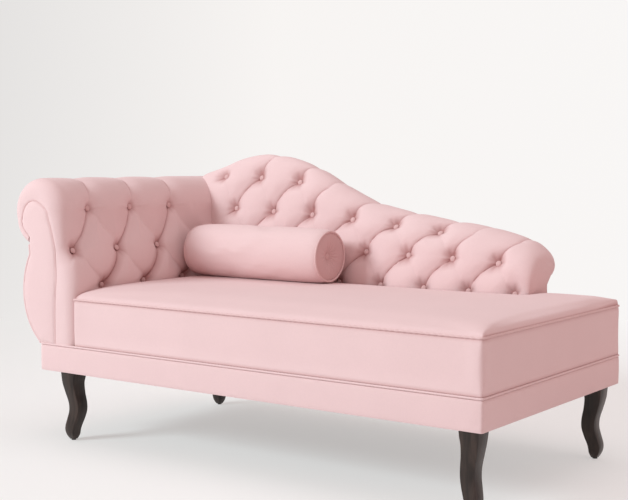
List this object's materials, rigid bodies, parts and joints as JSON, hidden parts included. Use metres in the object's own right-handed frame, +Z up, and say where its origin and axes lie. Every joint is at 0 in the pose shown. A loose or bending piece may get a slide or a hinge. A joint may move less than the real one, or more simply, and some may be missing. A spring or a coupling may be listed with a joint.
{
  "type": "fainting couch",
  "caption": "Long upholstered couch with one rolled, button-tufted arm, a tufted back that slopes down to the open foot end, curved wooden legs and a loose round bolster.",
  "frame": {"origin": "on the floor, under the middle of the whole object's box", "axes": "+X along the couch from its arm to its foot end, +Y from its front to its back, +Z up"},
  "size_m": [1.6092, 0.8086, 0.849],
  "materials": {
    "upholstery": "pale pink woven cloth with a soft nap",
    "button_cloth": "the same pink cloth over buttons, with their twine",
    "leg_wood": "dark espresso stain, semi-gloss",
    "frame_timber": "planed, unfinished",
    "padding": "foam and wadding",
    "jute_webbing": "woven jute",
    "dust_cloth": "thin black lining",
    "bolt_steel": "plain zinc-plated",
    "glide_plastic": "nail-on glide"
  },
  "bodies": {
    "couch": {"front_rail": "frame_timber", "rear_rail": "frame_timber", "head_end_rail": "frame_timber", "foot_end_rail": "frame_timber", "cross_rail": "frame_timber", "rail_cover": "upholstery", "seat_bottom_piping": "upholstery", "seat_webbing": "jute_webbing", "dust_cover": "dust_cloth", "seat_foam": "padding", "seat_cover": "upholstery", "seat_top_piping": "upholstery", "arm_front_board": "frame_timber", "arm_rear_board": "frame_timber", "arm_foam": "padding", "arm_panel": "frame_timber", "arm_pole": "frame_timber", "arm_bottom_rail": "frame_timber", "arm_inside_cover": "upholstery", "arm_outside_cover": "upholstery", "arm_front_facing": "upholstery", "arm_rear_facing": "upholstery", "arm_facing_welt": "upholstery", "arm_buttons_lower": "button_cloth", "arm_buttons_middle": "button_cloth", "arm_buttons_upper": "button_cloth", "back_foam": "padding", "back_panel": "frame_timber", "back_top_roll": "padding", "back_upright_head": "frame_timber", "back_upright_middle": "frame_timber", "back_upright_foot": "frame_timber", "back_inside_cover": "upholstery", "back_outside_cover": "upholstery", "back_buttons_seat": "button_cloth", "back_buttons_lower": "button_cloth", "back_buttons_upper": "button_cloth", "back_buttons_top": "button_cloth", "leg_front_head": "leg_wood", "leg_block_front_head": "frame_timber", "leg_bolt_front_head": "bolt_steel", "leg_glide_front_head": "glide_plastic", "leg_front_foot": "leg_wood", "leg_block_front_foot": "frame_timber", "leg_bolt_front_foot": "bolt_steel", "leg_glide_front_foot": "glide_plastic", "leg_rear_head": "leg_wood", "leg_block_rear_head": "frame_timber", "leg_bolt_rear_head": "bolt_steel", "leg_glide_rear_head": "glide_plastic", "leg_rear_foot": "leg_wood", "leg_block_rear_foot": "frame_timber", "leg_bolt_rear_foot": "bolt_steel", "leg_glide_rear_foot": "glide_plastic"},
    "bolster": {"bolster_cover": "upholstery", "bolster_filling": "padding", "bolster_end_head": "upholstery", "bolster_end_foot": "upholstery", "bolster_button_head": "button_cloth", "bolster_button_foot": "button_cloth"}
  },
  "joints": [
    {"name": "bolster_lift", "type": "slide", "parent": "couch", "child": "bolster", "axis": [0, 0, 1], "range_m": [0, 0.42]}
  ]
}
